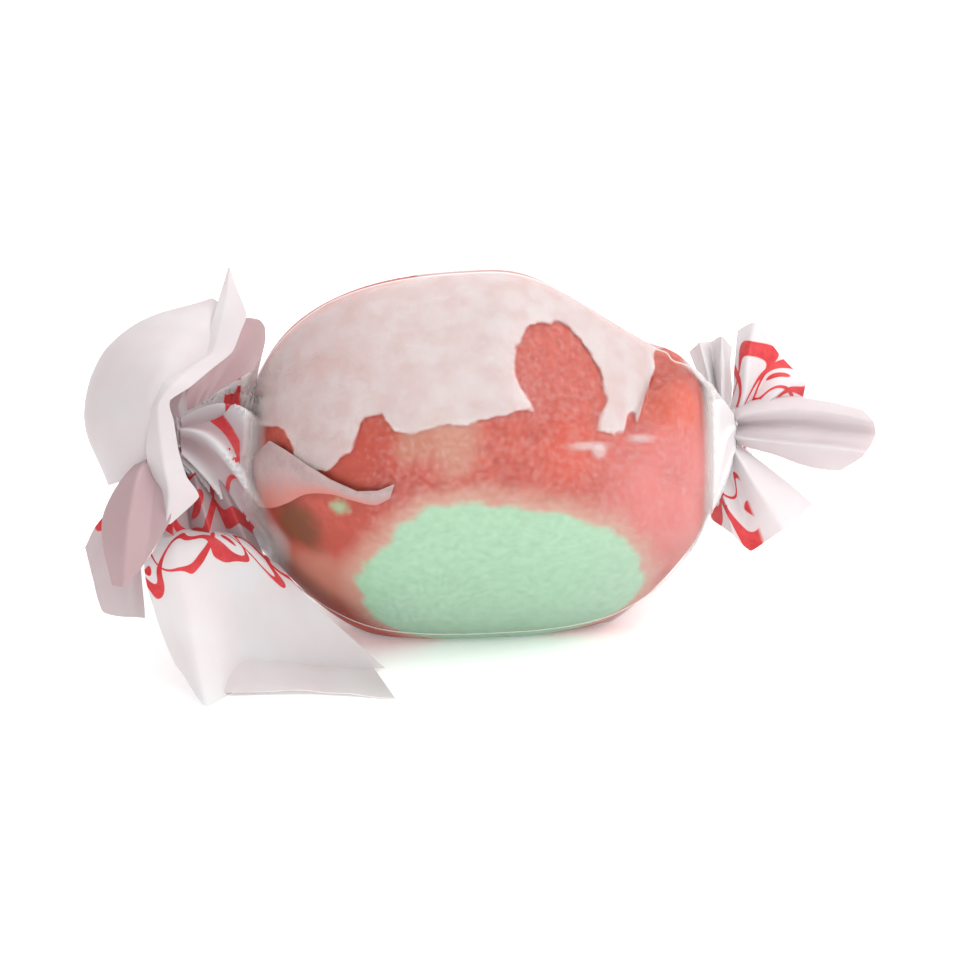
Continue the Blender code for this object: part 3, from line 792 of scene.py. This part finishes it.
def make_body(looks):
    """The sheet wound round the slice, with its pleated shoulders."""
    full = 2 * math.pi
    share = np.arange(COLUMNS)[:, None] / (COLUMNS - 1)
    share = 1 - (1 - share) ** 1.25
    tables = body_table(CLING_GAP), body_table(CLING_GAP + LIFT)
    edge = np.array(OUTER_EDGE, float)
    row_x = np.linspace(NECK_LEFT[0], NECK_RIGHT[0], ROWS)
    last = full + np.radians(np.interp(row_x, edge[:, 0], edge[:, 1])) - INNER_EDGE
    wound = last[None, :] * share
    lift = smooth((wound - full + CLIMB) / CLIMB)
    angle = np.degrees(INNER_EDGE + wound) % 360
    below = angle.astype(int)
    part = (angle - below)[..., None]
    rows = np.arange(ROWS)[None, :]
    low, high = (table[below, rows] * (1 - part) + table[below + 1, rows] * part for table in tables)
    grid = low + (high - low) * lift[..., None]
    to_left = running_length(grid, 1)
    to_right = to_left[:, -1:] - to_left
    turned = wound - 0.9 * smooth((8 - to_left) / 8) - 0.7 * smooth((6 - to_right) / 6)
    phase = PLEATS * turned / full + 0.5 * np.sin(3 * turned) + 0.3 * np.sin(5 * turned + 1)
    ridge = (0.5 + 0.5 * np.cos(2 * math.pi * phase)) ** 1.5
    rise = smooth((8.5 - to_left) / 4) + 0.6 * smooth((4.5 - to_right) / 2.5)
    axis = np.where(grid[..., :1] < 0, seen(*NECK_LEFT)[None, None, :], seen(*NECK_RIGHT)[None, None, :])
    far = smooth((np.abs(grid[..., :1]) - 8) / 8)
    from_axis = grid[..., 1:] - axis[..., 1:] * far
    grid[..., 1:] += from_axis * (PLEAT_DEPTH * (ridge - 0.33) * rise)[..., None]
    loose = looseness(grid)
    single = (wound < full - CLIMB) & (angle > np.degrees(last - full + INNER_EDGE)[None, :] + 1)
    tight = single * smooth(-grid[..., 0] / 6) * smooth((150 - angle) / 45)
    loose = loose * (1 - tight) - tight
    radius = np.linalg.norm(from_axis, axis=-1)
    crumple = crumple_field(grid, 5.0, 21) * 0.35 * smooth(rise) * smooth((radius - 1) / 4)
    stand = 0.16 * smooth(loose / 1.2) + crumple
    grid[..., 1:] += unit(grid[..., 1:]) * stand[..., None]
    grid = rest_on_floor(dent(grid) + SLICE_CENTRE, 0.6 * SHEET + LIFT * lift)
    right, up, near = seen_place(grid - SLICE_CENTRE)
    opaque_left = OPAQUE_LEFT + OPAQUE_LEFT_LOW * smooth((-3 - up) / 3)
    left_fade = (opaque_left + OPAQUE_LEFT_FADE - right) / OPAQUE_LEFT_FADE
    gather = np.maximum(left_fade, (right - OPAQUE_RIGHT) / OPAQUE_RIGHT_FADE)
    # A ray passes four faces of it where it lies double, so this power makes the fade look even
    gather = 1 - (1 - np.clip(gather, 0, 1)) ** 0.25
    upper = smooth((angle - 75) / 20) * smooth((300 - angle) / 30)
    gather = np.maximum(gather, smooth((right - 12.6) / 1.2) * upper)
    # Painted shade on the left: the paper is made clearer there, so the taffy shows darker through it. Low on
    # the right it is a little hazier.
    haze_and_painted_light = 0.02 * smooth((right - 4) / 8) * smooth((3.5 - up) / 5) - 0.05 * smooth((-5 - right) / 7)
    for centre, half in GLINTS:
        haze_and_painted_light += 0.13 * smooth(0.5 - oval_distance(right, up, centre, half, 0) / 0.3) * (near > 0)
    # A painted highlight along the outer cut edge: the sheet is made milky in a thin band there.
    to_edge = (last[None, :] - wound) * 12.0
    haze_and_painted_light = haze_and_painted_light + 0.55 * (1 - smooth((to_edge - 0.08) / 0.12))
    past_neck = np.minimum(to_left, to_right) - 0.8 + 20 * (right > 0)
    bare = 1 - smooth((opaque_left - 0.15 - right) / 0.5)
    sheet = np.stack([wound * PRINT_TURN, past_neck, bare], axis=-1)
    # Painted shade in the pleats' valleys, stronger at the left end than the right
    painted_valley_shade = (1 - ridge) * smooth(rise) * np.where(right > 0, 0.4, 0.75)
    values = {"loose": loose, "sheet": sheet, "gather": gather, "haze_and_painted_light": haze_and_painted_light, "shade": painted_valley_shade}
    return closed_sheet("wrapper_body", grid, values, looks, gather > PRINTED_SHARE)


def on_slice(right, up, margin):
    """Points of the slice's front, grown by a margin, behind the given right and up of the front view."""
    base = right[..., None] * AXES[0] + up[..., None] * AXES[1]

    def inside(near):
        return slice_level(base + near[..., None] * AXES[2], margin) < 1

    near = last_true(inside, np.full(right.shape, -4.0), np.full(right.shape, 24.0), 28)
    return base + near[..., None] * AXES[2]


def make_petal(looks):
    """The small pale fold that runs from the left shoulder on to the front."""
    upper = np.array((
        (-16.4, -0.6), (-15.2, -0.2), (-14.0, 0.95), (-12.9, 0.3), (-11.6, -0.6),
        (-10.0, -1.6), (-8.3, -2.35), (-7.0, -2.3), (-5.9, -1.9),
    ))
    lower = np.array((
        (-16.4, -2.8), (-15.2, -3.2), (-14.0, -3.4), (-12.9, -3.1), (-11.6, -2.5),
        (-10.0, -2.5), (-8.6, -2.9), (-7.2, -3.2), (-6.2, -2.8),
    ))
    steps = np.linspace(0, len(upper) - 1, 90)
    knots = np.arange(len(upper))
    top = np.stack([np.interp(steps, knots, upper[:, axis]) for axis in range(2)], axis=1)
    bottom = curve_through(lower, steps)
    across = np.linspace(0, 1, 26)[None, :, None]
    flat = top[:, None] * (1 - across) + bottom[:, None] * across
    points = on_slice(flat[..., 0], flat[..., 1], CLING_GAP + LIFT + 0.1)
    bulge = 0.35 * np.sin(math.pi * across[..., 0] ** 0.7) * smooth(np.linspace(1.0, 0.0, 90) / 0.4)[:, None]
    points = points + bulge[..., None] * AXES[2] + SLICE_CENTRE
    fade = across[..., 0] * smooth(np.linspace(1.6, 0.6, 90))[:, None]
    return closed_sheet("shoulder_fold", points, {"shade": fade}, looks)


def curve_through(points, steps):
    """A smooth curve through the points, read at the given steps of its parameter."""
    points = np.array(points)
    padded = np.concatenate([[2 * points[0] - points[1]], points, [2 * points[-1] - points[-2]]])
    spans = len(points) - 1
    span = np.minimum(steps.astype(int), spans - 1)
    t = (steps - span)[:, None]
    if points.ndim == 3:
        t = t[:, None]
    a, b, c, d = (padded[span + shift] for shift in range(4))
    return 0.5 * (2 * b + (c - a) * t + (2 * a - 5 * b + 4 * c - d) * t**2 + (3 * b - a - 3 * c + d) * t**3)


def fold_grid(neck, fold, ribs, seed, across=16, along=61):
    """A fold's surface as a grid, with creases that run out from the neck, and its place on the sheet."""
    crease, folded, shade, first_bare, last_bare = FOLD_LOOKS[fold]
    root = seen(*neck)
    lines = []
    for rib in ribs:
        points = [seen(*point) for point in rib]
        points.insert(0, root + ROOT_SHARE * (points[0] - root))
        lines.append(curve_through(points, np.linspace(0, len(points) - 1, along)))
    columns = max(24, across * (len(ribs) - 1))
    steps = np.linspace(0, len(ribs) - 1, columns)
    lines = np.array(lines)
    grid = curve_through(lines, steps) * (1 - folded) + between(lines, steps) * folded
    out = running_length(grid, 1)
    width = running_length(grid[:, -1], 0)
    rng = np.random.default_rng(seed)
    place = np.linspace(0, 1, columns)
    creases = np.zeros(columns)
    for _ in range(5):
        centre, half = rng.random(), 0.08 + 0.1 * rng.random()
        creases += rng.choice((-1, 1)) * np.clip(1 - np.abs(place - centre) / half, 0, 1)
    reach = smooth(out / 2.5) * (1 - 0.45 * smooth((out - 4) / 8))
    push = crease * creases[:, None] * reach
    push += 0.36 * crumple_field(grid, 6.5, seed + 50) * smooth(out / 4)
    push += 0.08 * crumple_field(grid, 2.2, seed + 90) * smooth(out / 4)
    grid = rest_on_floor(grid + grid_normals(grid) * push[..., None] + SLICE_CENTRE, SHEET / 2 + 0.02)
    sheet = np.zeros_like(grid)
    sheet[..., 0] = width[:, None] + 13.0 * seed
    sheet[..., 1] = 0.85 * out
    if fold == "apron":  # its print follows the fold's middle, across it
        sheet[..., 1] = PRINT_MIDDLE + 1.5 * (out - out[:, along // 2][:, None] - 0.3)
    sheet[..., 2] = (first_bare + (last_bare - first_bare) * smooth((place - 0.3) / 0.2))[:, None]
    # The shade value is painted shade, mixed in as mauve
    return grid, {"sheet": sheet, "shade": np.full(grid.shape[:2], float(shade))}


def between(lines, steps):
    """Straight steps from line to line, so that the fold is creased at its ribs."""
    low = np.minimum(steps.astype(int), len(lines) - 2)
    share = (steps - low)[:, None, None]
    return lines[low] * (1 - share) + lines[low + 1] * share


def joined(name, objects):
    """One object from several, keeping their attributes."""
    with bpy.context.temp_override(
        active_object=objects[0], selected_editable_objects=objects, selected_objects=objects
    ):
        bpy.ops.object.join()
    objects[0].name = name
    return objects[0]


def knot_grid(neck, side):
    """The gathered neck: a ridged tube, twisted along its length and flared towards both ends."""
    around, along = 220, 60
    angle = np.linspace(0, 2 * math.pi, around)[:, None]
    step = np.linspace(-1, 1, along)[None, :]
    turned = angle + 1.0 * side * step
    phase = KNOT_RIDGES * turned / (2 * math.pi) + 0.35 * np.sin(2 * turned)
    ridge = (1 - 2 * np.abs(phase - np.round(phase))) ** 1.3
    flare = np.where(step * side > 0, 1.1, 0.2)
    radius = (1.2 + flare * step ** 2) * (0.86 + 0.3 * ridge)
    reach = np.where(step * side > 0, 1.9, 0.8)
    grid = np.stack([reach * step + 0 * angle, radius * np.cos(turned), radius * np.sin(turned)], axis=-1)
    grid += seen(*neck) + SLICE_CENTRE
    sheet = np.stack([angle * PRINT_TURN + 0 * step, 2.0 + 2.0 * step * side + 0 * angle, 0 * ridge], axis=-1)
    # The knot is given a little painted shade
    return grid, {"sheet": sheet, "shade": np.full(grid.shape[:2], 0.3)}


def strip_grid(ribs, across=10, along=24):
    """A narrow band lofted across its ribs, with no root at the neck."""
    lines = np.array([[seen(*point) for point in rib] for rib in ribs])
    lines = np.array([between(line[:, None], np.linspace(0, 2, along))[:, 0] for line in lines])
    steps = np.linspace(0, len(ribs) - 1, across * (len(ribs) - 1))
    grid = (curve_through(lines, steps) + between(lines, steps)) / 2 + SLICE_CENTRE
    sheet = np.zeros_like(grid)
    sheet[..., 2] = 1.0
    # The hem strip is given a little painted shade
    return grid, {"sheet": sheet, "shade": np.full(grid.shape[:2], 0.15)}


def make_tail(name, neck, folds, looks, seed):
    """One end of the sheet: its gathered neck and the folds that spread from it, as one piece."""
    parts = {"knot": knot_grid(neck, 1 if neck[0] < 0 else -1)}
    if "hood" in folds:
        parts["hem"] = strip_grid(HEM)
    for number, (fold, ribs) in enumerate(folds.items()):
        parts[fold] = fold_grid(neck, fold, ribs, seed + number)
    return joined(name, [closed_sheet(f"{name}_{part}", *parts[part], looks) for part in parts])


def look_from(obj, spot, target):
    """Puts a lamp or a camera at a spot, pointed at the target."""
    obj.location = spot
    obj.rotation_euler = (Vector(target) - Vector(spot)).to_track_quat("-Z", "Y").to_euler()


def make_stage():
    """The white floor, the even sky and two soft lamps."""
    mesh = bpy.data.meshes.new("floor")
    corners = [(x * FLOOR_HALF, y * FLOOR_HALF, 0) for x, y in ((-1, -1), (1, -1), (1, 1), (-1, 1))]
    mesh.from_pydata(corners, [], [(0, 1, 2, 3)])
    floor = linked("floor", mesh)
    n = Nodes("floor_white")
    grain = n.noise(n.place(), 0.02)
    n.feed(n.mix(grain, srgb(250, 250, 250, 1), srgb(253, 253, 253, 1)), n.shader.inputs["Base Color"])
    n.shader.inputs["Roughness"].default_value = 0.7
    n.shader.inputs["Emission Color"].default_value = (1, 1, 1, 1)
    n.shader.inputs["Emission Strength"].default_value = FLOOR_GLOW
    n.material.cycles.emission_sampling = "NONE"
    mesh.materials.append(n.material)

    world = bpy.data.worlds.new("studio")
    world.use_nodes = True
    world.node_tree.nodes["Background"].inputs["Color"].default_value = (1, 1, 1, 1)
    world.node_tree.nodes["Background"].inputs["Strength"].default_value = WORLD_STRENGTH
    bpy.context.scene.world = world

    for name, spot, size, power in LAMPS:
        lamp = bpy.data.lights.new(name, "AREA")
        lamp.size = size
        lamp.energy = power
        look_from(linked(name, lamp), spot, SLICE_CENTRE * MM)


def make_camera():
    """The photo's viewing angle, from far enough away for nearly parallel lines of sight."""
    lens = bpy.data.cameras.new("camera")
    lens.sensor_width = 36
    lens.lens = lens.sensor_width * CAMERA_DISTANCE / FRAME_WIDTH
    lens.clip_start = 0.01
    camera = linked("camera", lens)
    middle = (SLICE_CENTRE + seen(*FRAME_MIDDLE)) * MM
    look_from(camera, middle + AXES[2] * CAMERA_DISTANCE, middle)
    bpy.context.scene.camera = camera


def main():
    candy = candy_material()
    edge = edge_material()
    paper = paper_material()
    core, ring = make_candy(candy)
    for piece, node, slot in ((core, "core", "green_taffy"), (ring, "shell", "red_taffy")):
        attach(piece, "root")
        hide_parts(node)
    sheets = (
        make_body((cling_material(), edge, paper)),
        make_petal((fold_material(), edge)),
        make_tail("left_tail", NECK_LEFT, LEFT_FOLDS, (paper, edge), 1),
        make_tail("right_tail", NECK_RIGHT, RIGHT_FOLDS, (paper, edge), 20),
    )
    for piece in sheets:
        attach(piece, "root")
        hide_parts("wrapper")
    make_stage()
    make_camera()
    bpy.context.scene.view_settings.view_transform = "Standard"


main()
